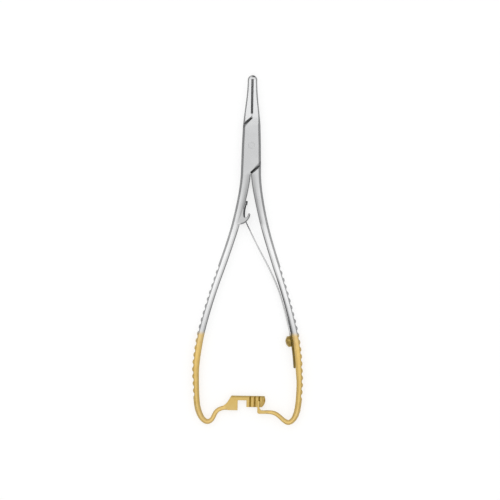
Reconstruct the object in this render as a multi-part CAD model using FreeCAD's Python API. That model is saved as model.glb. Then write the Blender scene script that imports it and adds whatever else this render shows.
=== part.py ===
import FreeCAD, Part
import math
import os

# Palm-held needle holder with a box lock, a ratchet at its end and a leaf spring.
# It lies on its back. The origin is on the hinge axis in the resting plane, +Y runs
# to the jaw tips and +Z up out of the resting plane. Lengths are in millimetres.

V = FreeCAD.Vector

# Head: the pair of jaws and the box lock behind them
head_depth = 5.6
tip_reach = 34.2
tip_width = 4.6
tip_depth = 3.2
jaw_bevel = 0.65
jaw_front_y = 28.0
jaw_front_width = 4.85
jaw_front_depth = 3.7
jaw_middle_y = 21.5
jaw_middle_width = 5.9
jaw_middle_depth = 4.5
jaw_root_y = 15.5
jaw_root_width = 7.3
jaw_root_depth = 5.2
box_nose_y = 9.8
box_nose_width = 8.5
box_width = 9.26
box_tail_y = -14.2
box_tail_width = 9.86
box_bevel = 1.15
bevel_rise = 0.7

# Box lock: oblique steps in both plates, the tang between them and its pin
step_y = 13.66
step_angle = 41.0
step_gap = 0.55
step_bevel = 0.5
shoulder_bevel = 0.3
plate_thickness = 1.6
tang_clearance = 0.05
wall_reach = 3.6
wall_clearance = 0.18
jaw_gap = 0.06
pin_radius = 1.5
pin_clearance = 0.05

# Hard inserts in the gripping faces
insert_thickness = 0.5
insert_start_y = 15.4
insert_tip_inset = 1.9

# Shank and handle of one arm: x, y and width of rows along its line. Its inner side
# is eased by slopes, each a share of the width wide, with its drop
shank_rows = (
    (3.42, -22.0, 4.45),
    (5.2, -31.0, 4.05),
)
handle_rows = (
    (7.3, -39.8, 3.87),
    (9.88, -48.5, 3.7),
    (12.75, -57.3, 3.7),
    (15.8, -66.3, 3.57),
    (18.6, -75.2, 3.5),
    (21.07, -84.0, 3.5),
    (23.2, -92.8, 3.55),
    (24.6, -101.6, 3.5),
    (25.3, -110.0, 3.35),
)
shank_depth = 4.9
handle_depth = 4.1
arm_outer_bevel = 1.05
arm_inner_bevel = 0.45
arm_slopes = ((0.2, 0.3), (0.2, 0.11))
arm_start_sink = 0.05
crotch_gap = 0.16
handle_section_step = 3.0
loop_section_step = 1.5

# More such rows down the outer side of each loop, then round it to the ratchet or pawl
ratchet_side_rows = (
    (25.15, -115.0, 3.1),
    (24.9, -120.0, 2.95),
    (24.6, -124.0, 2.9),
    (24.0, -128.0, 2.85),
)
ratchet_loop_rows = (
    (22.95, -131.2, 2.8),
    (20.9, -134.15, 2.5),
    (19.05, -134.95, 2.35),
    (17.35, -134.2, 2.15),
    (16.2, -132.5, 2.15),
    (14.88, -130.0, 2.05),
    (12.0, -128.3, 2.0),
    (9.2, -128.1, 2.2),
)
pawl_side_rows = (
    (25.6, -115.0, 3.1),
    (25.5, -120.0, 3.0),
    (25.2, -124.5, 2.9),
    (24.75, -128.0, 2.85),
)
pawl_loop_rows = (
    (23.75, -131.5, 2.7),
    (22.3, -133.7, 2.4),
    (20.4, -134.7, 2.3),
    (18.7, -134.1, 2.2),
    (16.5, -132.3, 2.0),
    (14.0, -130.5, 1.95),
    (11.4, -129.85, 1.75),
    (9.0, -129.85, 1.6),
)
loop_bevel = 0.35
loop_sink = 0.35

# Round ribs on the outer side of each handle, from the middle of the first valley on
rib_pitch = 3.47
rib_count = 18
rib_start_y = -60.6
rib_height = 0.55
rib_radius = 1.6
rib_flat = 0.03

# Ratchet plate on the left loop, toothed on its upper face, its flank from the shoulder
ratchet_rise = 5.95
ratchet_bar_height = 2.15
ratchet_block_height = 5.4
ratchet_foot_x = -4.5
ratchet_notch = 4.25
ratchet_reach = 8.9
ratchet_nose_top = 0.4
ratchet_nose_foot = 1.7
ratchet_shoulder_x = -7.5
ratchet_flank_steps = ((-4.0, -4.9), (-2.5, -3.75), (-1.25, -1.9))
ratchet_low_z = 0.8
ratchet_depth = 2.6
ratchet_edge = 0.45
tooth_pitch = 2.22
tooth_count = 3
tooth_ramp = 0.95
tooth_depth = 0.9
tooth_first_x = 1.99
tooth_last_land = 0.6

# Pawl on the right loop, with a finger that lies over the teeth
pawl_z = 3.3
pawl_depth = 3.0
pawl_end_x = 5.1
pawl_end_bevel = 0.6
pawl_finger_width = 1.1
pawl_finger_inset = 2.25
pawl_finger_bevel = 0.3
pawl_clearance = 0.1
pawl_gusset_width = 0.8
pawl_gusset_height = 1.1

# Hook on the left shank: its outline from the root's rear round the tip to the root's front
lug_depth = 4.0
lug_bevel = 0.25
lug_rows = (
    (-5.6, -38.7), (-4.9, -38.65), (-3.45, -38.3), (-1.85, -37.2), (-0.6, -35.6),
    (0.0, -34.0), (-0.08, -33.35), (-0.5, -33.1), (-0.95, -33.45), (-1.25, -34.4),
    (-1.7, -35.05), (-2.4, -35.2), (-3.0, -34.85), (-3.22, -34.2), (-3.22, -33.0),
    (-3.17, -31.4), (-3.3, -30.2),
)
lug_root_x = -6.3

# Leaf spring: x, y and thickness from its folded end on, and its seat on the handle
spring_width = 2.4
spring_rows = (
    (-2.02, -27.5, 0.42),
    (-2.13, -28.3, 0.42),
    (-2.4, -29.8, 0.45),
    (-2.72, -31.4, 0.48),
    (-2.86, -33.2, 0.52),
    (-2.66, -35.3, 0.56),
    (-1.95, -37.4, 0.56),
    (-0.65, -40.1, 0.56),
    (3.9, -49.1, 0.56),
    (8.5, -57.6, 0.56),
    (11.9, -64.4, 0.56),
    (14.6, -70.8, 0.56),
    (17.1, -78.6, 0.6),
)
spring_seat_thickness = 1.0
spring_seat_y = -89.0
spring_tail_y = -107.6
spring_seat_sections = 5
spring_strip_sections = 26
fold_gap = 0.08
fold_length = 1.7
seat_gap = 0.04

# Slit in the lug that the spring slides in
slit_y = -36.2
slit_length = 3.4
slit_clearance = 0.3

# Screw that holds the spring on the right handle
screw_y = -94.6
screw_head_radius = 2.7
screw_head_height = 2.5
screw_rim_height = 1.3
screw_shank_radius = 1.0
screw_hole_clearance = 0.1
screw_depth = 2.1
screw_slot_width = 0.7
screw_slot_depth = 0.8
screw_slot_turn = 35.0

middle_z = head_depth / 2
ratchet_top_y = ratchet_loop_rows[-1][1] + ratchet_rise
far = 80.0


def plan_face(edges):
    """Flat face in the resting plane from a closed run of edges."""
    return Part.Face(Part.Wire(edges))


def polygon(points):
    """Flat face in the resting plane from corner points."""
    corners = [V(x, y, 0) for x, y in points]
    return Part.Face(Part.makePolygon(corners + [corners[0]]))


def prism(face, low_z, high_z):
    """Upright solid on a flat face, between two heights."""
    face = face.copy()
    face.translate(V(0, 0, low_z))
    return face.extrude(V(0, 0, high_z - low_z))


def section(centre, across, width, depth, outer_bevel, inner_bevel, sink):
    """Bevelled section of a bar, its inner side eased by the slopes if it has a sink."""
    a = inner_bevel - width / 2
    b = depth / 2 - sink * sum(drop for share, drop in arm_slopes)
    ring = [(-width / 2, b - inner_bevel * bevel_rise), (a, b)]
    if sink > 0:
        for share, drop in arm_slopes:
            a += share * width
            b += sink * drop
            ring.append((a, b))
    ring.append((width / 2 - outer_bevel, depth / 2))
    ring.append((width / 2, depth / 2 - outer_bevel * bevel_rise))
    ring.extend([(a, -b) for a, b in reversed(ring)])
    corners = [centre + across * a + V(0, 0, b) for a, b in ring]
    return Part.makePolygon(corners + [corners[0]])


def smooth(rows, parameters):
    """Smooth curve through rows of three numbers at the given parameters."""
    curve = Part.BSplineCurve()
    curve.interpolate(Points=[V(*row) for row in rows], Parameters=parameters)
    return curve


def plan_parameters(rows):
    """Distance in plan along a list of rows."""
    run = [0.0]
    for before, after in zip(rows, rows[1:]):
        run.append(run[-1] + math.hypot(after[0] - before[0], after[1] - before[1]))
    return run


class Arm:
    """One arm on the right side, with its line, widths and depths."""

    def __init__(self, side_rows, loop_rows, end_depth, end_z):
        start_width = box_tail_width / 2 - crotch_gap / 2
        start_x = crotch_gap / 2 + start_width / 2
        handle = handle_rows + side_rows
        rows = ((start_x, box_tail_y, start_width),) + shank_rows + handle + loop_rows
        edges = (arm_outer_bevel, arm_inner_bevel, 1.0)
        ends = (end_depth, end_z, loop_bevel, loop_bevel, loop_sink)
        self.run = plan_parameters(rows)
        self.forms = [(head_depth, middle_z, box_bevel, arm_inner_bevel, arm_start_sink)]
        self.forms.extend([(shank_depth, middle_z) + edges] * len(shank_rows))
        self.forms.extend([(handle_depth, middle_z) + edges] * len(handle))
        starts = self.forms[-1]
        for number in range(len(loop_rows)):
            share = (number + 1) / len(loop_rows)
            self.forms.append([a + (b - a) * share for a, b in zip(starts, ends)])
        self.line = smooth(rows, self.run)
        self.loop_start = self.run[len(shank_rows) + len(handle)]

    def place(self, at):
        """Centre, outward direction and width at a distance along the arm."""
        point = self.line.value(at)
        slope = self.line.tangent(at)[0]
        heading = V(slope.x, slope.y, 0)
        heading.normalize()
        outward = V(-heading.y, heading.x, 0)
        return V(point.x, point.y, middle_z), outward, heading, point.z

    def form(self, at):
        """Depth, middle height, bevels and sink at a distance along the arm."""
        for number in range(1, len(self.run)):
            if at <= self.run[number] or number == len(self.run) - 1:
                low, high = self.run[number - 1], self.run[number]
                share = (at - low) / (high - low)
                pairs = zip(self.forms[number - 1], self.forms[number])
                return [a + (b - a) * share for a, b in pairs]

    def at_y(self, y):
        """Distance along the handle at which its line passes a height y."""
        low, high = 0.0, self.loop_start
        for halving in range(40):
            middle = (low + high) / 2
            if self.line.value(middle).y > y:
                low = middle
            else:
                high = middle
        return low

    def bar(self, low, high, step):
        """Loft between two distances, through even sections about a step apart."""
        count = math.ceil((high - low) / step)
        wires = []
        for number in range(count + 1):
            at = low + (high - low) * number / count
            centre, outward, heading, width = self.place(at)
            if at == 0.0:
                outward = V(1, 0, 0)
            depth, centre.z, *edges = self.form(at)
            wires.append(section(centre, outward, width, depth, *edges))
        return Part.makeLoft(wires, True, False, False, 5)

    def rib_waste(self):
        """Strip along the handle's outer side, less the round ribs that stay in it."""
        at = self.at_y(rib_start_y) - rib_pitch / 2
        low, high, ribs = [], [], []
        for number in range(rib_count + 2):
            centre, outward, heading, width = self.place(at)
            low.append(centre + outward * (width / 2 - rib_height))
            high.append(centre + outward * (width / 2 + rib_height))
            axis = centre + outward * (width / 2 + rib_flat - rib_radius)
            axis.z = -far
            ribs.append(Part.makeCylinder(rib_radius, 2 * far, axis))
            at += rib_pitch
        edges = []
        for points in (low, high):
            for point in points:
                point.z = 0.0
            curve = Part.BSplineCurve()
            curve.interpolate(Points=points)
            edges.append(curve.toShape())
        edges.append(Part.makeLine(low[0], high[0]))
        edges.append(Part.makeLine(low[-1], high[-1]))
        return prism(plan_face(Part.__sortEdges__(edges)), -far, far).cut(ribs)

    def solid(self):
        """Shank, ribbed handle and loop in one piece."""
        handle = self.bar(0.0, self.loop_start, handle_section_step)
        loop = self.bar(self.loop_start, self.run[-1], loop_section_step)
        return handle.fuse(loop).cut(self.rib_waste())


def mirrored(shape):
    """The same shape on the left side."""
    return shape.mirror(V(0, 0, 0), V(1, 0, 0))


def head_envelope():
    """Outer form of the two closed jaws and the box lock, still in one."""
    nose = V(0, tip_reach - tip_width / 2, middle_z)
    box_stations = (
        (box_tail_y, box_tail_width, head_depth, box_bevel),
        (0.0, box_width, head_depth, box_bevel),
        (box_nose_y, box_nose_width, head_depth, box_bevel),
    )
    jaw_stations = (
        (box_nose_y, box_nose_width, head_depth, box_bevel),
        (jaw_root_y, jaw_root_width, jaw_root_depth, jaw_bevel),
        (jaw_middle_y, jaw_middle_width, jaw_middle_depth, jaw_bevel),
        (jaw_front_y, jaw_front_width, jaw_front_depth, jaw_bevel),
        (nose.y, tip_width, tip_depth, jaw_bevel),
    )
    bars = []
    for stations, straight in ((box_stations, True), (jaw_stations, False)):
        wires = []
        for y, width, depth, bevel in stations:
            centre = V(0, y, middle_z)
            wires.append(section(centre, V(1, 0, 0), width, depth, bevel, bevel, 0.0))
        bars.append(Part.makeLoft(wires, True, straight))
    rim = (
        (0.0, tip_depth / 2), (tip_width / 2 - jaw_bevel, tip_depth / 2),
        (tip_width / 2, tip_depth / 2 - jaw_bevel * bevel_rise),
    )
    ring = [nose + V(a, 0, b) for a, b in rim] + [nose + V(a, 0, -b) for a, b in reversed(rim)]
    half = Part.Face(Part.makePolygon(ring + [ring[0]]))
    return bars[0].fuse([bars[1], half.revolve(nose, V(0, 0, 1), 180)])


def step_line(offset, x):
    """Height on the upper step at x, moved by an offset square to the step."""
    slope = math.tan(math.radians(step_angle))
    return step_y + offset / math.cos(math.radians(step_angle)) + slope * x


def turned(shape):
    """The same shape half a turn round the hinge axis."""
    shape = shape.copy()
    shape.rotate(V(0, 0, 0), V(0, 0, 1), 180)
    return shape


def box_region():
    """Plan of the box half: right jaw, plates between the steps, left shank."""
    side = jaw_gap / 2
    edge = -step_gap / 2
    wide = box_tail_width
    return polygon((
        (side, far), (side, step_line(edge, side)), (-wide, step_line(edge, -wide)),
        (-wide, -far), (-side, -far), (-side, -step_line(edge, side)),
        (wide, -step_line(edge, -wide)), (wide, far),
    ))


def jaw_region():
    """Plan of the left jaw, down to its shoulder at the upper step."""
    side = jaw_gap / 2
    wide = box_tail_width
    edge = step_gap / 2
    return polygon((
        (-side, far), (-side, step_line(edge, -side)),
        (-wide, step_line(edge, -wide)), (-wide, far),
    ))


def mortise_region(clearance, reach):
    """Plan of the mortise between the box's solid walls, less a clearance at each."""
    slant = box_width / 2 / (step_y - wall_reach)
    shift = clearance * math.hypot(1, slant)

    def wall_x(y):
        return (step_y - y) * slant - shift

    return polygon((
        (wall_x(reach), reach), (-wall_x(-reach), reach),
        (-wall_x(reach), -reach), (wall_x(-reach), -reach),
    ))


def step_bevels(offset, size, side):
    """Cutters for the upper step's front and back edges, on one side of its gap."""
    angle = math.radians(step_angle)
    along = V(-math.cos(angle), -math.sin(angle), 0)
    across = V(-math.sin(angle), math.cos(angle), 0) * side
    corner = V(-jaw_gap / 2 * side, 0, 0)
    corner.y = step_line(offset, corner.x)
    cutters = []
    for face_z, up in ((head_depth, 1), (0.0, -1)):
        rows = ((-size, -2 * size), (2 * size, size), (-size, size))
        ring = [corner + across * a + V(0, 0, face_z + up * b) for a, b in rows]
        face = Part.Face(Part.makePolygon(ring + [ring[0]]))
        cutters.append(face.extrude(along * box_tail_width))
    return cutters


def insert_slab(side):
    """Block that holds the hard insert of one jaw, on the right side or the left."""
    centre_x = side * (jaw_gap + insert_thickness) / 2
    corner = V(centre_x - insert_thickness / 2, insert_start_y, -far)
    length = tip_reach - insert_tip_inset - insert_start_y
    return Part.makeBox(insert_thickness, length, 2 * far, corner)


def pin_hole(clearance):
    """Bore or pin on the hinge axis, right through the head."""
    return Part.makeCylinder(pin_radius + clearance, head_depth)


def lug():
    """Hooked lug on the inner side of the left shank, bevelled along its rims."""
    rows = [(x, y, middle_z) for x, y in lug_rows]
    run = plan_parameters(rows)
    line = smooth(rows, run)
    half = lug_depth / 2
    low = half - lug_bevel * bevel_rise
    wires = []
    for rise, inset in ((-half, lug_bevel), (-low, 0.0), (low, 0.0), (half, lug_bevel)):
        points = []
        for at in run:
            slope = line.tangent(at)[0]
            points.append(line.value(at) + V(-slope.y * inset, slope.x * inset, rise))
        root_high = V(lug_root_x, points[-1].y, points[-1].z)
        root_low = V(lug_root_x, points[0].y, points[0].z)
        wires.append(Part.Wire([
            smooth(points, run).toShape(),
            Part.makeLine(points[-1], root_high),
            Part.makeLine(root_high, root_low),
            Part.makeLine(root_low, points[0]),
        ]))
    plate = Part.Face(wires[1]).extrude(V(0, 0, 2 * low))
    rims = [Part.makeLoft(pair, True, True) for pair in (wires[:2], wires[2:])]
    return plate.fuse(rims)


class Spring:
    """Leaf spring that lies along the right handle and springs off to the lug."""

    def __init__(self, arm):
        rows = list(spring_rows)
        low = arm.at_y(spring_seat_y)
        high = arm.at_y(spring_tail_y)
        for number in range(spring_seat_sections):
            at = low + (high - low) * number / (spring_seat_sections - 1)
            centre, outward, heading, width = arm.place(at)
            inset = width / 2 + seat_gap + spring_seat_thickness / 2
            point = centre - outward * inset
            rows.append((point.x, point.y, spring_seat_thickness))
        self.run = plan_parameters(rows)
        self.line = smooth(rows, self.run)

    def place(self, at):
        """Centre, side direction, heading and thickness along the spring."""
        point = self.line.value(at)
        slope = self.line.tangent(at)[0]
        heading = V(slope.x, slope.y, 0)
        heading.normalize()
        return V(point.x, point.y, 0), V(-heading.y, heading.x, 0), heading, point.z

    def upright(self, face):
        """Piece of the strip on a flat face, as wide as the spring."""
        half = spring_width / 2
        return prism(face, middle_z - half, middle_z + half)

    def strip(self):
        """Strip from the fold to the rounded tail."""
        left, right = [], []
        for number in range(spring_strip_sections + 1):
            at = self.run[-1] * number / spring_strip_sections
            centre, side, heading, thickness = self.place(at)
            left.append(centre - side * (thickness / 2))
            right.append(centre + side * (thickness / 2))
        sides = []
        for points in (left, right):
            curve = Part.BSplineCurve()
            curve.interpolate(Points=points)
            sides.append(curve.toShape())
        round_end = Part.Arc(left[-1], centre + heading * (thickness / 2), right[-1])
        edges = sides + [round_end.toShape(), Part.makeLine(left[0], right[0])]
        return self.upright(plan_face(Part.__sortEdges__(edges)))

    def fold(self):
        """Free end folded back on itself, which holds the strip in the slit."""
        start, side, heading, thickness = self.place(0.0)
        reach = thickness + fold_gap / 2
        centre = start + side * (reach - thickness / 2)
        loops = []
        for radius in (reach, fold_gap / 2):
            near = centre - side * radius
            far_side = centre + side * radius
            along = heading * fold_length
            round_top = Part.Arc(near, centre - heading * radius, far_side)
            loops.append([near, round_top, far_side, far_side + along])
        outer, inner = loops
        edges = [
            outer[1].toShape(),
            Part.makeLine(outer[2], outer[3]),
            Part.makeLine(outer[3], inner[3]),
            Part.makeLine(inner[3], inner[2]),
            inner[1].toShape(),
            Part.makeLine(inner[0], outer[0]),
        ]
        return self.upright(plan_face(Part.__sortEdges__(edges)))

    def slit(self):
        """Slot through the lug that the strip slides in."""
        low, high = 0.0, self.run[-1]
        for halving in range(40):
            at = (low + high) / 2
            if self.line.value(at).y > slit_y:
                low = at
            else:
                high = at
        centre, side, heading, thickness = self.place(low)
        wide = thickness + 2 * slit_clearance
        deep = spring_width + 2 * slit_clearance
        corner = V(-slit_length / 2, -wide / 2, -deep / 2)
        block = Part.makeBox(slit_length, wide, deep, corner)
        block.rotate(V(0, 0, 0), V(0, 0, 1), math.degrees(math.atan2(heading.y, heading.x)))
        block.translate(V(centre.x, centre.y, middle_z))
        return block


class Screw:
    """Screw through the spring into the inner side of the right handle."""

    def __init__(self, arm):
        centre, outward, heading, width = arm.place(arm.at_y(screw_y))
        self.inward = outward * -1
        self.face = centre + self.inward * (width / 2)
        self.under_head = 2 * seat_gap + spring_seat_thickness

    def rod(self, radius, low, high):
        """Round rod on the screw's axis between two heights over the handle."""
        start = self.face + self.inward * low
        return Part.makeCylinder(radius, high - low, start, self.inward)

    def solid(self):
        """Domed head with its slot, and the shank below it."""
        rim = V(screw_head_radius, 0, screw_rim_height)
        crown = V(0, 0, screw_head_height)
        dome = screw_head_height - screw_rim_height
        ball = (screw_head_radius ** 2 + dome ** 2) / (2 * dome)
        half_angle = math.asin(screw_head_radius / ball) / 2
        bulge = V(ball * math.sin(half_angle), 0, 0)
        bulge.z = screw_head_height - ball * (1 - math.cos(half_angle))
        ring = Part.Wire([
            Part.makeLine(V(0, 0, 0), V(screw_head_radius, 0, 0)),
            Part.makeLine(V(screw_head_radius, 0, 0), rim),
            Part.Arc(rim, bulge, crown).toShape(),
            Part.makeLine(crown, V(0, 0, 0)),
        ])
        head = Part.Face(ring).revolve(V(0, 0, 0), V(0, 0, 1), 360)
        slot_low = screw_head_height - screw_slot_depth
        corner = V(-screw_head_radius, -screw_slot_width / 2, slot_low)
        head = head.cut(Part.makeBox(2 * screw_head_radius, screw_slot_width, far, corner))
        head.rotate(V(0, 0, 0), V(0, 0, 1), screw_slot_turn)
        turn = FreeCAD.Rotation(V(0, 0, 1), self.inward)
        base = self.face + self.inward * self.under_head
        head.Placement = FreeCAD.Placement(base, turn).multiply(head.Placement)
        return head.fuse(self.rod(screw_shank_radius, -screw_depth, self.under_head))


def ratchet_plate():
    """Toothed plate on the end of the left loop."""
    rod_x, rod_y, rod_width = ratchet_loop_rows[-1]
    foot_y = rod_y - rod_width / 2
    bar_y = ratchet_top_y - ratchet_bar_height
    block_y = ratchet_top_y - ratchet_block_height
    block_x = ratchet_foot_x + ratchet_notch
    shoulder = V(ratchet_shoulder_x, ratchet_top_y, 0)
    flank = [shoulder + V(x, y, 0) for x, y in ratchet_flank_steps]
    root = V(flank[0].x, rod_y, 0)
    points = [
        shoulder,
        V(ratchet_reach - ratchet_nose_top, ratchet_top_y, 0),
        V(ratchet_reach - ratchet_nose_foot, block_y, 0),
        V(block_x, block_y, 0),
        V(block_x, bar_y, 0),
        V(ratchet_foot_x, bar_y, 0),
        V(ratchet_foot_x, foot_y, 0),
        V(-rod_x, foot_y, 0),
        root,
        flank[0],
    ]
    nose = V(ratchet_reach, (ratchet_top_y + block_y) / 2, 0)
    edges = [Part.makeLine(points[0], points[1])]
    edges.append(Part.Arc(points[1], nose, points[2]).toShape())
    for before, after in zip(points[2:-1], points[3:]):
        edges.append(Part.makeLine(before, after))
    curve = Part.BSplineCurve()
    curve.interpolate(Points=flank + [shoulder])
    edges.append(curve.toShape())
    high_z = ratchet_low_z + ratchet_depth
    plate = prism(plan_face(edges), ratchet_low_z, high_z)
    top_edges = []
    for edge in plate.Edges:
        box = edge.BoundBox
        if box.YMin > ratchet_top_y - ratchet_edge and box.ZLength < ratchet_edge:
            top_edges.append(edge)
    plate = plate.makeChamfer(ratchet_edge, top_edges)
    return plate.cut(ratchet_teeth(block_y, high_z))


def ratchet_teeth(block_y, high_z):
    """Saw-tooth grooves across the block, and the ramp at its outer end."""
    low_z = high_z - tooth_depth
    profiles = []
    for number in range(tooth_count):
        steep_x = tooth_first_x + number * tooth_pitch
        profiles.append(((steep_x, high_z), (steep_x, low_z), (steep_x - tooth_ramp, high_z)))
    land_x = steep_x + tooth_last_land
    profiles.append(((land_x, high_z), (ratchet_reach, low_z), (ratchet_reach, high_z)))
    cutters = []
    for profile in profiles:
        ring = [V(x, block_y, z) for x, z in profile]
        face = Part.Face(Part.makePolygon(ring + [ring[0]]))
        cutters.append(face.extrude(V(0, ratchet_block_height, 0)))
    return cutters


def pawl():
    """End of the right loop with the finger that lies over the teeth."""
    bar_x, bar_y, bar_width = pawl_loop_rows[-1]
    low_y = bar_y - bar_width / 2
    high_y = bar_y + bar_width / 2
    high_z = pawl_z + pawl_depth / 2
    right_x = pawl_end_x + pawl_finger_width
    top_y = ratchet_top_y - pawl_finger_inset
    foot = polygon((
        (bar_x, high_y), (pawl_end_x, high_y), (pawl_end_x, low_y + pawl_end_bevel),
        (pawl_end_x + pawl_end_bevel, low_y), (bar_x, low_y),
    ))
    finger = polygon((
        (pawl_end_x, bar_y), (pawl_end_x, top_y - pawl_finger_bevel),
        (pawl_end_x + pawl_finger_bevel, top_y), (right_x - pawl_finger_bevel, top_y),
        (right_x, top_y - pawl_finger_bevel),
        (right_x, high_y + pawl_gusset_height),
        (right_x + pawl_gusset_width, high_y), (right_x + pawl_gusset_width, bar_y),
    ))
    finger_z = ratchet_low_z + ratchet_depth + pawl_clearance
    foot = prism(foot, pawl_z - pawl_depth / 2, high_z)
    return foot.fuse(prism(finger, finger_z, high_z))


envelope = head_envelope()
right_arm = Arm(pawl_side_rows, pawl_loop_rows, pawl_depth, pawl_z)
ratchet_z = ratchet_low_z + ratchet_depth / 2
left_arm = Arm(ratchet_side_rows, ratchet_loop_rows, ratchet_depth, ratchet_z)
spring = Spring(right_arm)
screw = Screw(right_arm)
slab_low = plate_thickness
slab_high = head_depth - plate_thickness

everywhere = (-far, far)
box = envelope.common(prism(box_region(), *everywhere))
box = box.cut(prism(mortise_region(0.0, 2 * step_y), slab_low, slab_high))
bevels = step_bevels(-step_gap / 2, step_bevel, -1)
box = box.cut(bevels + [turned(cutter) for cutter in bevels])
box_half = box.fuse([mirrored(left_arm.solid()), lug(), ratchet_plate()])
box_half = box_half.cut([pin_hole(0.0), spring.slit()])

jaw = envelope.common(prism(jaw_region(), *everywhere))
shoulder = envelope.common(turned(prism(jaw_region(), *everywhere)))
shoulder_bevels = step_bevels(step_gap / 2, shoulder_bevel, 1)
jaw = jaw.cut(shoulder_bevels)
shoulder = shoulder.cut([turned(cutter) for cutter in shoulder_bevels])
tang = mortise_region(wall_clearance, step_y + step_gap)
tang = prism(tang, slab_low + tang_clearance, slab_high - tang_clearance).common(envelope)
tang_half = jaw.fuse([shoulder, tang, right_arm.solid(), pawl()])
screw_bore = screw.rod(screw_shank_radius, -screw_depth, screw.under_head)
tang_half = tang_half.cut([pin_hole(pin_clearance), screw_bore])

right_insert = box_half.common(insert_slab(1))
left_insert = tang_half.common(insert_slab(-1))
box_half = box_half.cut(insert_slab(1))
tang_half = tang_half.cut(insert_slab(-1))

hole_radius = screw_shank_radius + screw_hole_clearance
leaf_hole = screw.rod(hole_radius, -spring_seat_thickness, 2 * spring_seat_thickness)
leaf_spring = spring.strip().fuse(spring.fold()).cut(leaf_hole)

nodes = {
    "box_half": box_half,
    "tang_half": tang_half,
    "right_insert": right_insert,
    "left_insert": left_insert,
    "joint_pin": pin_hole(0.0),
    "leaf_spring": leaf_spring,
    "spring_screw": screw.solid(),
}
os.makedirs("parts", exist_ok=True)
for name, shape in nodes.items():
    shape.removeSplitter().exportStep("parts/" + name + ".step")
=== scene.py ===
import math

import bmesh
import bpy
import numpy as np
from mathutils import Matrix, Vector


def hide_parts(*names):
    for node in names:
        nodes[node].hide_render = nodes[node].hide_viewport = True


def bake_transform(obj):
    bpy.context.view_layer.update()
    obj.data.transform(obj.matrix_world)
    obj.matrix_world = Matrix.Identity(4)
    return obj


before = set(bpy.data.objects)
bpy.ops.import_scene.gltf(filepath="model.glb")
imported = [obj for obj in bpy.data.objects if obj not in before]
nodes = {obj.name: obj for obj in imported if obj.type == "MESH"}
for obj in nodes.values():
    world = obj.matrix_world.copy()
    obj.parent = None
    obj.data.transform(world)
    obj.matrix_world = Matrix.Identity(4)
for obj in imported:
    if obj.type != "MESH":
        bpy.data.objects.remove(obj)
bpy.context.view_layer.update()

# Looks of the palm-held needle holder. The CAD halves, inserts, pin and screw keep
# their shapes and get procedural metals; the leaf spring is swept again as a smooth
# strip. Lengths are in metres in the CAD's own frame.

scene = bpy.context.scene

# View of the photo: straight down, the jaws leaning one degree clockwise
VIEW_CENTRE = (0.000207, -0.05097)
VIEW_WIDTH = 0.24385
VIEW_ROLL = math.radians(1.0)
VIEW_HEIGHT = 1.2
MIDDLE_Z = 0.0028

# Where the gilding starts on both handles, and where the loops begin to turn in
GILT_Y = -0.0919
LOOP_Y = -0.1275

# Linear colours: each metal when clean and where it is clouded, and the darker tones of its
# painted shade, in crevices and elsewhere
STEEL = (0.93, 0.932, 0.935, 1.0)
STEEL_DULL = (0.57, 0.575, 0.58, 1.0)
GOLD = (0.98, 0.70, 0.24, 1.0)
GOLD_DULL = (0.94, 0.64, 0.20, 1.0)
# Near black and dark grey: painted shade on the leaf spring's front, in its colour and in the tint
# of its reflection
FRONT_SHADE = (0.008, 0.008, 0.01, 1.0)
FRONT_SHADE_GREY = (0.10, 0.10, 0.105, 1.0)
# Dark gold of the spring's tail: painted shade, as the tail is seen edge on between the screw and
# the arm
TAIL_SHADE_GOLD = (0.28, 0.20, 0.05, 1.0)
TAIL_SHADE_GOLD_DULL = (0.19, 0.13, 0.025, 1.0)
# Dark gold of the screw head: painted shade on its dome
SCREW_SHADE_GOLD = (0.50, 0.35, 0.09, 1.0)
SCREW_SHADE_GOLD_DULL = (0.30, 0.20, 0.045, 1.0)
# Spring steel. Its dull tone is near black and gives painted shade where the strip passes behind
# the hook
SPRING_STEEL = (0.86, 0.862, 0.865, 1.0)
SPRING_STEEL_SHADED = (0.15, 0.15, 0.155, 1.0)
BLACK = (0.0, 0.0, 0.0, 1.0)
WHITE = (1.0, 1.0, 1.0, 1.0)
CREVICE_SHADE_GOLD = (0.62, 0.48, 0.03, 1.0)
SHADED_GOLD = (0.58, 0.41, 0.12, 1.0)

# How bright handling has polished the steel of the halves and of the leaf spring: places along Y
# and shares of the polish. The spring's low share near its front is painted shade, where the strip
# passes behind the hook.
POLISH_STOPS = (
    (-0.0900, 0.40), (-0.0850, 0.60), (-0.0720, 0.90), (-0.0560, 0.97), (-0.0460, 0.85),
    (-0.0360, 0.55), (-0.0240, 0.28), (-0.0150, 0.12), (-0.0080, 0.0), (0.0080, 0.0),
    (0.0128, 0.06), (0.0145, 0.24), (0.0320, 0.24),
)
SPRING_STOPS = (
    (-0.0919, 0.85), (-0.0800, 0.95), (-0.0720, 0.90), (-0.0640, 0.88), (-0.0540, 0.92),
    (-0.0460, 0.88), (-0.0425, 0.66), (-0.0395, 0.10),
)

# How much deeper the gold is in the rear half of the handles, and the share of gold where
# it is thinner: in front, and on the loops
DEEPER_STOPS = ((-0.1300, 0.0), (-0.1260, 0.16), (-0.1120, 0.16), (-0.1020, 0.0))
THIN_IN_FRONT = 0.86
THIN_ON_LOOPS = 0.90

# The oblique steps at both ends of the box: how far off they cross the Y axis, and their
# slope
STEP_Y = 0.01366
STEP_SLOPE = math.tan(math.radians(41.0))

# Inner sides of the shanks: where they part and how they spread
CROTCH_Y = -0.0142
CROTCH_SPREAD = 0.2

# Inner edges of the arms, the same on both sides: places along Y and across, and a
# distance across that none of them reaches
INNER_EDGE = (
    (-0.1100, 0.02362), (-0.1016, 0.02284), (-0.0928, 0.02138), (-0.0840, 0.01926),
    (-0.0752, 0.01677), (-0.0663, 0.01392), (-0.0573, 0.01080), (-0.0485, 0.00794),
    (-0.0398, 0.00528), (-0.0310, 0.00310),
)
INNER_EDGE_SPAN = 0.025

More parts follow.
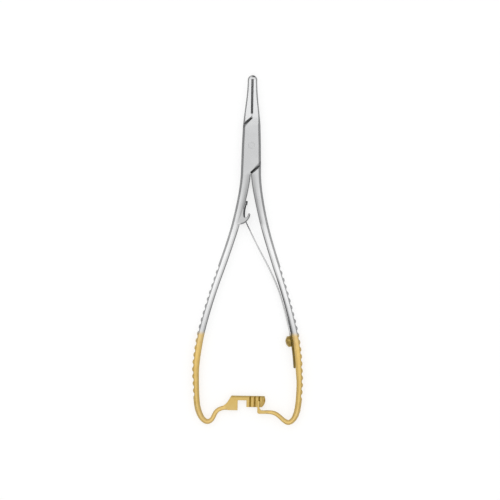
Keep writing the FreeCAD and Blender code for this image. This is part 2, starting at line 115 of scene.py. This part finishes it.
# Upper edge of the ratchet plate, and the jaw tip
RATCHET_TOP_Y = -0.12215
TIP = (0.00045, 0.0342)

# The hook's rounded rear edge: centre and radius of its arc
HOOK_CENTRE = (-0.0054, -0.0331)
HOOK_RADIUS = 0.0055

# Scales of the metals' patterns in cycles per metre, and angle and scale of the scratches
CLOUD_SCALE = 160.0
BLOTCH_SCALE = 420.0
GRAIN_SCALE = 5200.0
BRUSH_SCALE = 3800.0
SCRATCHES = ((12.0, 1500.0), (-34.0, 1200.0))


def put(tree, kind, inputs=None, **settings):
    """New shader node with its settings, and values or links on its sockets."""
    item = tree.nodes.new(kind)
    for key, value in settings.items():
        setattr(item, key, value)
    for key, value in (inputs or {}).items():
        if isinstance(value, bpy.types.NodeSocket):
            tree.links.new(value, item.inputs[key])
        else:
            item.inputs[key].default_value = value
    return item


def new_material(name):
    """Empty node material and its tree."""
    material = bpy.data.materials.new(name)
    material.use_nodes = True
    material.node_tree.nodes.clear()
    return material, material.node_tree


def noise(tree, where, scale, detail=2.0, stretch=(1.0, 1.0, 1.0)):
    """Noise value between about 0 and 1 at a scale in cycles per metre."""
    mapped = put(tree, "ShaderNodeMapping", {"Vector": where, "Scale": stretch})
    item = put(tree, "ShaderNodeTexNoise", {
        "Vector": mapped.outputs["Vector"], "Scale": scale, "Detail": detail})
    return item.outputs["Fac"]


def ramp(tree, value, low, high, out_low=0.0, out_high=1.0):
    """Smooth step of a value from one range to another."""
    item = put(tree, "ShaderNodeMapRange", {
        "Value": value, "From Min": low, "From Max": high,
        "To Min": out_low, "To Max": out_high}, interpolation_type="SMOOTHSTEP")
    return item.outputs["Result"]


def sums(tree, operation, first, second):
    """Arithmetic on two values."""
    item = put(tree, "ShaderNodeMath", operation=operation)
    for number, value in enumerate((first, second)):
        if isinstance(value, bpy.types.NodeSocket):
            tree.links.new(value, item.inputs[number])
        else:
            item.inputs[number].default_value = value
    return item.outputs["Value"]


def mix(tree, share, first, second):
    """Mix of two colours."""
    item = put(tree, "ShaderNodeMix", data_type="RGBA")
    for number, value in ((0, share), (6, first), (7, second)):
        if isinstance(value, bpy.types.NodeSocket):
            tree.links.new(value, item.inputs[number])
        else:
            item.inputs[number].default_value = value
    return item.outputs[2]


def hairlines(tree, where, angle, scale):
    """Sparse fine scratches along one direction, 1 on a scratch."""
    turned = put(tree, "ShaderNodeMapping", {
        "Vector": where, "Rotation": (0.0, 0.0, math.radians(angle))})
    lines = noise(tree, turned.outputs["Vector"], scale, 1.0, (1.0, 0.03, 1.0))
    return ramp(tree, lines, 0.69, 0.73)


def stepped(tree, value, stops, kind="EASE"):
    """Tone through stops, each a place and a share."""
    low, high = stops[0][0], stops[-1][0]
    place = put(tree, "ShaderNodeMapRange", {"Value": value, "From Min": low, "From Max": high})
    item = put(tree, "ShaderNodeValToRGB", {"Fac": place.outputs["Result"]})
    tones = item.color_ramp
    tones.interpolation = kind
    while len(tones.elements) < len(stops):
        tones.elements.new(0.5)
    for number, (at, tone) in enumerate(stops):
        tones.elements[number].position = (at - low) / (high - low)
        tones.elements[number].color = (tone, tone, tone, 1.0)
    return item.outputs["Color"]


def product(tree, *values):
    """Product of several values."""
    total = values[0]
    for value in values[1:]:
        total = sums(tree, "MULTIPLY", total, value)
    return total


def size_of(tree, value):
    """A value without its sign."""
    return sums(tree, "ABSOLUTE", value, 0.0)


def step_shade(tree, place):
    """Share of painted shade along both steps, narrow and black at the middle of the box."""
    end = sums(tree, "SIGN", place["Y"], 0.0)
    across = product(tree, place["X"], end, -1.0)
    along = product(tree, place["Y"], end, -1.0)
    line = sums(tree, "SUBTRACT", product(tree, across, STEP_SLOPE), STEP_Y)
    off = sums(tree, "SUBTRACT", along, line)
    spread = ramp(tree, across, 0.0, 0.0045, 1.0, 2.2)
    edge = ramp(tree, sums(tree, "DIVIDE", off, spread), 0.0006, 0.0012, 1.0, 0.0)
    depth = ramp(tree, across, 0.0006, 0.0044, 0.95, 0.36)
    return product(tree, edge, depth, ramp(tree, off, 0.0, 0.0002),
                   ramp(tree, across, -0.0006, 0.0))


def inner_side_shade(tree, place):
    """Share of painted shade on the inner sides of the shanks and on the hook."""
    spread = product(tree, sums(tree, "SUBTRACT", CROTCH_Y, place["Y"]), CROTCH_SPREAD)
    off = sums(tree, "SUBTRACT", size_of(tree, place["X"]), spread)
    return product(tree, ramp(tree, off, 0.0004, 0.0028, 1.0, 0.0),
                   ramp(tree, place["Y"], -0.0392, -0.0375),
                   ramp(tree, place["Y"], -0.0150, -0.0125, 1.0, 0.0))


def arm_edge_shade(tree, place):
    """Share of painted shade along the arms' inner edges, wider beside the spring's seat."""
    shares = [(y, x / INNER_EDGE_SPAN) for y, x in INNER_EDGE]
    edge = product(tree, stepped(tree, place["Y"], shares, "LINEAR"), INNER_EDGE_SPAN)
    off = sums(tree, "SUBTRACT", size_of(tree, place["X"]), edge)
    narrow = product(tree, ramp(tree, off, 0.0003, 0.0008, 0.42, 0.0),
                     ramp(tree, place["Y"], -0.0430, -0.0390, 1.0, 0.0))
    seat = product(tree, ramp(tree, place["Y"], -0.0680, -0.0600, 1.0, 0.0),
                   ramp(tree, place["X"], 0.0, 0.0010))
    wide = product(tree, ramp(tree, off, 0.0003, 0.0011, 0.7, 0.0), seat)
    return sums(tree, "MAXIMUM", narrow, wide)


def tip_shade(tree, place):
    """Share of painted shade on the very tip of the jaws."""
    off = size_of(tree, sums(tree, "SUBTRACT", place["X"], TIP[0]))
    return product(tree, ramp(tree, off, 0.0005, 0.0011, 0.75, 0.0),
                   ramp(tree, place["Y"], TIP[1] - 0.0013, TIP[1] - 0.0008))


def parting_shade(tree, place):
    """Share of painted shade along the parting between the inserts and the front step."""
    return product(tree, ramp(tree, size_of(tree, place["X"]), 0.0001, 0.0003, 0.45, 0.0),
                   ramp(tree, place["Y"], 0.0134, 0.0138),
                   ramp(tree, place["Y"], 0.0152, 0.0156, 1.0, 0.0))


def ratchet_rim_shade(tree, place):
    """Share of painted shade on the ratchet plate, most along its upper edge."""
    return product(tree, ramp(tree, size_of(tree, place["X"]), 0.0100, 0.0110, 1.0, 0.0), ramp(
        tree, place["Y"], RATCHET_TOP_Y - 0.0012, RATCHET_TOP_Y - 0.0006, 0.4, 1.0))


def gold_side_shade(tree):
    """Share of painted shade along the edges of the faces and on the sides, where they tilt away
    from the top.
    """
    turned = put(tree, "ShaderNodeBevel", {"Radius": 0.0004}, samples=8).outputs["Normal"]
    tilt = put(tree, "ShaderNodeSeparateXYZ", {"Vector": turned}).outputs["Z"]
    return ramp(tree, size_of(tree, tilt), 0.6, 0.97, 1.0, 0.0)


def hook_rim_shade(tree, where, place):
    """Share of painted shade on the hook's rear edge, standing in for a wider bevel."""
    flat = put(tree, "ShaderNodeVectorMath", {0: where, 1: (1.0, 1.0, 0.0)}, operation="MULTIPLY")
    off = put(tree, "ShaderNodeVectorMath", {
        0: flat.outputs["Vector"], 1: (*HOOK_CENTRE, 0.0)}, operation="DISTANCE")
    rim = ramp(tree, off.outputs["Value"], HOOK_RADIUS - 0.0009, HOOK_RADIUS - 0.0003)
    return product(tree, rim, ramp(tree, place["X"], -0.0052, -0.0042),
                   ramp(tree, place["X"], 0.0004, 0.0006, 1.0, 0.0),
                   ramp(tree, place["Y"], -0.0395, -0.0390),
                   ramp(tree, place["Y"], -0.0345, -0.0325, 1.0, 0.0))


def steel_painted_shade(tree, where, place, steel):
    """Steel with painted shade on the inner sides and the hook's rim, and at the steps, edges, tip
    and parting.
    """
    steel = mix(tree, product(tree, inner_side_shade(tree, place), 0.28), steel, BLACK)
    steel = mix(tree, product(tree, hook_rim_shade(tree, where, place), 0.6), steel, BLACK)
    for shade_share in (step_shade, arm_edge_shade, tip_shade, parting_shade):
        steel = mix(tree, shade_share(tree, place), steel, BLACK)
    return steel


def gold_with_painted_shade(tree, place, gold):
    """Gold with painted shade on the ratchet plate and along its edges and sides, and deeper in
    the handles' rear half.
    """
    gold = mix(tree, product(tree, ratchet_rim_shade(tree, place), 0.8), gold, SHADED_GOLD)
    gold = mix(tree, product(tree, gold_side_shade(tree), 0.5), gold, SHADED_GOLD)
    return mix(tree, stepped(tree, place["Y"], DEEPER_STOPS), gold, SHADED_GOLD)


def gilt_behind(tree, where, along, shaded_and_worn):
    """Share of gold behind its ragged front line, thinner in places where it is worn."""
    ragged = sums(tree, "MULTIPLY", noise(tree, where, 900.0, 2.0), 0.0005)
    line = sums(tree, "ADD", along, ragged)
    share = ramp(tree, line, GILT_Y - 0.0009, GILT_Y + 0.0017, 1.0, 0.0)
    if shaded_and_worn:
        share = product(
            tree, share, ramp(tree, line, GILT_Y - 0.0085, GILT_Y - 0.0010, 1.0, THIN_IN_FRONT),
            ramp(tree, line, LOOP_Y - 0.0030, LOOP_Y + 0.0030, THIN_ON_LOOPS, 1.0))
    return share


def worn_normal(tree, where, grain, scratch):
    """Normal with softened edges, grain, brushing and scratches."""
    brushed = noise(tree, where, BRUSH_SCALE, 1.0, (1.0, 0.06, 1.0))
    relief = sums(tree, "ADD", sums(tree, "MULTIPLY", grain, 0.5),
                  sums(tree, "MULTIPLY", brushed, 0.5))
    relief = sums(tree, "SUBTRACT", relief, sums(tree, "MULTIPLY", scratch, 0.4))
    soft = put(tree, "ShaderNodeBevel", {"Radius": 0.00014}, samples=6)
    return put(tree, "ShaderNodeBump", {
        "Height": relief, "Strength": 0.25, "Distance": 0.000006,
        "Normal": soft.outputs["Normal"]}).outputs["Normal"]


def metal(name, polish, gilt, golds=(GOLD, GOLD_DULL), steels=(STEEL, STEEL_DULL),
          stops=POLISH_STOPS, front_shade_y=None, shaded_and_worn=False, crevice_shade_share=0.85):
    """Satin metal with grain, hairlines and clouding; gilt is no, all or behind.

    In front of the given place along Y, if there is one, the metal is darkened as painted
    shade where the strip lies in the hook's slot and against the arm, darkest at its end. On
    the halves the steel and gold also get painted shade at steps, edges, sides, tip and
    ratchet, and the gold is thinner where it is worn. Everywhere the colour darkens as
    painted shade in crevices and gaps, by the share given. The steel's polish follows the
    front step where that crosses the box.
    """
    material, tree = new_material(name)
    where = put(tree, "ShaderNodeTexCoord").outputs["Object"]
    place = put(tree, "ShaderNodeSeparateXYZ", {"Vector": where}).outputs
    along = place["Y"]
    cloud = noise(tree, where, CLOUD_SCALE, 3.0)
    blotch = noise(tree, where, BLOTCH_SCALE, 2.0)
    grain = noise(tree, where, GRAIN_SCALE, 2.0)
    scratch = sums(tree, "MAXIMUM", *(hairlines(tree, where, *kind) for kind in SCRATCHES))

    lean = product(tree, sums(tree, "MINIMUM", place["X"], 0.0), STEP_SLOPE,
                   ramp(tree, along, 0.0, 0.006))
    shine = stepped(tree, sums(tree, "SUBTRACT", along, lean), stops)
    shine = sums(tree, "ADD", shine, ramp(tree, cloud, 0.3, 0.7, -0.06, 0.06))
    steel = mix(tree, shine, steels[1], steels[0])
    gold = mix(tree, ramp(tree, blotch, 0.3, 0.7), *golds)
    if shaded_and_worn:
        steel = steel_painted_shade(tree, where, place, steel)
        gold = gold_with_painted_shade(tree, place, gold)

    rough = ramp(tree, cloud, 0.25, 0.75, polish - 0.03, polish + 0.03)
    share, metallic = 0.0, 1.0
    colour = steel
    if gilt == "behind":
        share = gilt_behind(tree, where, along, shaded_and_worn)
        colour = mix(tree, share, steel, gold)
        rough = sums(tree, "ADD", rough, sums(tree, "MULTIPLY", share, 0.2))
        metallic = sums(tree, "SUBTRACT", 1.0, sums(tree, "MULTIPLY", share, 0.4))
    elif gilt == "all":
        share, metallic = 1.0, 0.6
        colour = gold
    tint = WHITE
    # Painted shade: in front of the given place the strip turns near black, in colour and in the
    # tint of its reflection, and is darkest at its end
    if front_shade_y:
        front_shade = ramp(tree, along, front_shade_y - 0.0012, front_shade_y + 0.0012)
        tint = mix(tree, front_shade, WHITE, FRONT_SHADE_GREY)
        darkest = ramp(tree, along, front_shade_y + 0.0036, front_shade_y + 0.0048)
        colour = mix(tree, front_shade, colour, mix(tree, darkest, FRONT_SHADE_GREY, FRONT_SHADE))
    # Painted shade: where ambient occlusion finds crevices, gaps and recesses, the colour darkens
    # towards black, or towards a deep gold on gilt parts
    shade = put(tree, "ShaderNodeAmbientOcclusion", {"Distance": 0.0011}, samples=8).outputs["AO"]
    crevice_shade = mix(tree, crevice_shade_share, colour, mix(tree, share, BLACK, CREVICE_SHADE_GOLD))
    colour = mix(tree, ramp(tree, shade, 0.3, 0.72, 1.0, 0.0), colour, crevice_shade)
    rough = sums(tree, "ADD", rough, sums(tree, "MULTIPLY", grain, 0.05))
    rough = sums(tree, "SUBTRACT", rough, sums(tree, "MULTIPLY", scratch, 0.05))

    shader = put(tree, "ShaderNodeBsdfPrincipled", {
        "Base Color": colour, "Metallic": metallic, "Roughness": rough, "Specular Tint": tint,
        "Normal": worn_normal(tree, where, grain, scratch)})
    put(tree, "ShaderNodeOutputMaterial", {"Surface": shader.outputs["BSDF"]})
    return material


def insert_metal():
    """Hard grey insert with a fine cross-cut relief on its faces."""
    material, tree = new_material("hard_insert_look")
    where = put(tree, "ShaderNodeTexCoord").outputs["Object"]
    cloud = noise(tree, where, 700.0, 3.0)
    cuts = []
    for angle in (45.0, -45.0):
        turned = put(tree, "ShaderNodeMapping", {
            "Vector": where, "Rotation": (math.radians(angle), 0.0, 0.0)})
        wave = put(tree, "ShaderNodeTexWave", {
            "Vector": turned.outputs["Vector"], "Scale": 400.0}, bands_direction="Y")
        cuts.append(wave.outputs["Fac"])
    pyramid = sums(tree, "MULTIPLY", cuts[0], cuts[1])
    colour = mix(tree, cloud, (0.03, 0.03, 0.031, 1.0), (0.065, 0.065, 0.068, 1.0))
    bump = put(tree, "ShaderNodeBump", {"Height": pyramid, "Strength": 0.8, "Distance": 0.00008})
    rough = ramp(tree, cloud, 0.3, 0.7, 0.4, 0.55)
    shader = put(tree, "ShaderNodeBsdfPrincipled", {
        "Base Color": colour, "Metallic": 1.0, "Roughness": rough,
        "Normal": bump.outputs["Normal"]})
    put(tree, "ShaderNodeOutputMaterial", {"Surface": shader.outputs["BSDF"]})
    return material


def wear(node, material):
    """Gives a CAD node's material slots one look."""
    slots = nodes[node].material_slots
    if not slots:
        nodes[node].data.materials.append(material)
    for item in slots:
        item.material = material


halves = metal("satin_gilt_look", 0.24, "behind", shaded_and_worn=True)
wear("box_half", halves)
wear("tang_half", halves)
wear("joint_pin", metal("pin_look", 0.2, "no"))
wear("spring_screw", metal("screw_look", 0.16, "all", (SCREW_SHADE_GOLD, SCREW_SHADE_GOLD_DULL)))
inserts = insert_metal()
wear("right_insert", inserts)
wear("left_insert", inserts)

# Leaf spring: x, y and thickness in millimetres, from the folded end to the tail, a little
# thicker than the solid in its free length, as the photo shows it
SPRING_ROWS = (
    (-2.02, -27.5, 0.42), (-2.13, -28.3, 0.42), (-2.4, -29.8, 0.62), (-2.72, -31.4, 0.72),
    (-2.86, -33.2, 0.72), (-2.66, -35.3, 0.58), (-1.95, -37.4, 0.56), (-0.65, -40.1, 0.6),
    (3.9, -49.1, 0.74), (8.5, -57.6, 0.82), (11.9, -64.4, 0.8), (14.6, -70.8, 0.74),
    (17.1, -78.6, 0.72), (20.103, -89.54, 1.0), (21.09, -94.046, 1.0), (21.887, -98.574, 1.0),
    (22.461, -103.131, 1.0), (22.874, -107.765, 1.0),
)
SPRING_WIDTH = 2.4
FOLD_GAP = 0.08
FOLD_LENGTH = 1.7
SPRING_STATIONS = 150
# Where the painted shade on the strip's front begins, in metres
SPRING_FRONT_SHADE_Y = -0.0352


def natural_spline(run, values, at):
    """Natural cubic spline through values at the distances in run."""
    count = len(run)
    steps = np.diff(run)
    matrix = np.eye(count)
    right = np.zeros(count)
    for n in range(1, count - 1):
        matrix[n, n - 1:n + 2] = steps[n - 1], 2 * (steps[n - 1] + steps[n]), steps[n]
        after, before = values[n + 1] - values[n], values[n] - values[n - 1]
        right[n] = 6 * (after / steps[n] - before / steps[n - 1])
    bend = np.linalg.solve(matrix, right)
    n = np.clip(np.searchsorted(run, at, side="right") - 1, 0, count - 2)
    h = steps[n]
    a = (run[n + 1] - at) / h
    b = (at - run[n]) / h
    curved = ((a ** 3 - a) * bend[n] + (b ** 3 - b) * bend[n + 1]) * h * h / 6
    return a * values[n] + b * values[n + 1] + curved


def spring_path():
    """Points, headings and thicknesses of the strip, round its fold and along it."""
    rows = np.array(SPRING_ROWS)
    run = np.concatenate(([0.0], np.cumsum(np.hypot(*np.diff(rows[:, :2], axis=0).T))))
    at = np.linspace(0.0, run[-1], SPRING_STATIONS)
    x, y, thick = (natural_spline(run, rows[:, k], at) for k in range(3))
    points = np.stack((x, y), axis=1)
    heading = np.gradient(points, axis=0)
    heading /= np.linalg.norm(heading, axis=1)[:, None]
    side = np.array((-heading[0, 1], heading[0, 0]))
    radius = (thick[0] + FOLD_GAP) / 2
    centre = points[0] + side * radius
    path = []
    for share in np.linspace(1.0, 0.0, 7)[:-1]:
        place = centre + side * radius + heading[0] * FOLD_LENGTH * share
        path.append((place, -heading[0], thick[0]))
    for turn in np.linspace(0.0, math.pi, 13)[:-1]:
        place = centre + radius * (side * math.cos(turn) - heading[0] * math.sin(turn))
        facing = -side * math.sin(turn) - heading[0] * math.cos(turn)
        path.append((place, facing, thick[0]))
    path.extend(zip(points, heading, thick))
    for share in (0.5, 0.8, 0.95, 1.0):
        reach = thick[-1] / 2 * share
        path.append((points[-1] + heading[-1] * reach, heading[-1],
                     thick[-1] * max(0.05, math.sqrt(1 - share * share))))
    return path


def build_spring():
    """Smooth strip with softened long edges."""
    mesh = bpy.data.meshes.new("leaf_spring_strip")
    shape = bmesh.new()
    rings = []
    half = SPRING_WIDTH / 2
    for place, facing, thick in spring_path():
        side = np.array((-facing[1], facing[0]))
        t = thick / 2
        outline = []
        for turn in range(0, 181, 30):
            round_off = math.radians(turn)
            outline.append((t * math.cos(round_off), half - t + t * math.sin(round_off)))
        outline.extend([(-a, -b) for a, b in outline])
        ring = []
        for a, b in outline:
            x, y = place + side * a
            ring.append(shape.verts.new((x / 1000, y / 1000, MIDDLE_Z + b / 1000)))
        rings.append(ring)
    count = len(rings[0])
    for first, second in zip(rings, rings[1:]):
        for n in range(count):
            m = (n + 1) % count
            shape.faces.new((first[n], first[m], second[m], second[n]))
    shape.faces.new(rings[0])
    shape.faces.new(list(reversed(rings[-1])))
    bmesh.ops.recalc_face_normals(shape, faces=shape.faces)
    shape.to_mesh(mesh)
    shape.free()
    for face in mesh.polygons:
        face.use_smooth = True
    piece = bpy.data.objects.new("leaf_spring_strip", mesh)
    scene.collection.objects.link(piece)
    # Painted shade on the strip: its dark tail gold, its near-black front and the darkening of its
    # crevices
    mesh.materials.append(metal(
        "spring_look", 0.2, "behind", (TAIL_SHADE_GOLD, TAIL_SHADE_GOLD_DULL),
        (SPRING_STEEL, SPRING_STEEL_SHADED), SPRING_STOPS, SPRING_FRONT_SHADE_Y, crevice_shade_share=0.3))
    return piece


spring = build_spring()
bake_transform(spring)
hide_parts("leaf_spring")


# Grey and camera glow of the floor, and strengths of the sky: low down all round, more at
# both ends, and 1 overhead
FLOOR_GREY = 0.42
FLOOR_GLOW = 0.7
SKY_LOW = 0.36
SKY_ENDS = 0.2
LAMP_PLACE = (-0.35, 0.5, 1.4)
LAMP_AIM = (0.0, -0.05, 0.0)


def build_floor():
    """Large pale disc that keeps the object's shadow and reads white beside it."""
    mesh = bpy.data.meshes.new("floor")
    shape = bmesh.new()
    bmesh.ops.create_circle(shape, cap_ends=True, segments=96, radius=6.0)
    shape.to_mesh(mesh)
    shape.free()
    floor = bpy.data.objects.new("floor", mesh)
    floor.location.z = -0.00002
    scene.collection.objects.link(floor)
    material, tree = new_material("floor_look")
    rays = put(tree, "ShaderNodeLightPath").outputs
    seen = sums(tree, "MAXIMUM", rays["Is Camera Ray"], rays["Is Glossy Ray"])
    seen = sums(tree, "MAXIMUM", seen, rays["Is Transmission Ray"])
    matt = put(tree, "ShaderNodeBsdfDiffuse", {"Color": (FLOOR_GREY, FLOOR_GREY, FLOOR_GREY, 1.0)})
    lift = put(tree, "ShaderNodeEmission", {
        "Color": WHITE, "Strength": sums(tree, "MULTIPLY", seen, FLOOR_GLOW)})
    both = put(tree, "ShaderNodeAddShader")
    tree.links.new(matt.outputs["BSDF"], both.inputs[0])
    tree.links.new(lift.outputs["Emission"], both.inputs[1])
    put(tree, "ShaderNodeOutputMaterial", {"Surface": both.outputs["Shader"]})
    mesh.materials.append(material)


def build_light():
    """Soft sky, bright overhead and darkest low down at both sides, and one weak lamp."""
    world = bpy.data.worlds.new("studio")
    world.use_nodes = True
    tree = world.node_tree
    tree.nodes.clear()
    facing = put(tree, "ShaderNodeSeparateXYZ", {
        "Vector": put(tree, "ShaderNodeTexCoord").outputs["Generated"]}).outputs
    ends = ramp(tree, size_of(tree, facing["Y"]), 0.35, 0.95, 0.0, SKY_ENDS)
    low = sums(tree, "ADD", ends, SKY_LOW)
    high = ramp(tree, facing["Z"], 0.42, 1.0)
    level = sums(tree, "ADD", product(tree, low, sums(tree, "SUBTRACT", 1.0, high)), high)
    sky = put(tree, "ShaderNodeBackground", {"Color": WHITE, "Strength": level})
    put(tree, "ShaderNodeOutputWorld", {"Surface": sky.outputs["Background"]})
    scene.world = world

    lamp = bpy.data.lights.new("soft_lamp", "AREA")
    lamp.shape = "DISK"
    lamp.size = 0.9
    lamp.energy = 1.2
    holder = bpy.data.objects.new("soft_lamp", lamp)
    holder.location = LAMP_PLACE
    toward = Vector(LAMP_AIM) - holder.location
    holder.rotation_euler = toward.to_track_quat("-Z", "Y").to_euler()
    scene.collection.objects.link(holder)


def build_camera():
    """Long lens straight above, framed as the photo is."""
    lens = bpy.data.cameras.new("camera")
    lens.sensor_width = 36.0
    lens.lens = lens.sensor_width * VIEW_HEIGHT / VIEW_WIDTH
    lens.clip_start = 0.01
    lens.clip_end = 50.0
    camera = bpy.data.objects.new("camera", lens)
    camera.location = (VIEW_CENTRE[0], VIEW_CENTRE[1], MIDDLE_Z + VIEW_HEIGHT)
    camera.rotation_euler = (0.0, 0.0, VIEW_ROLL)
    scene.collection.objects.link(camera)
    scene.camera = camera


build_floor()
build_light()
build_camera()
scene.view_settings.view_transform = "Standard"
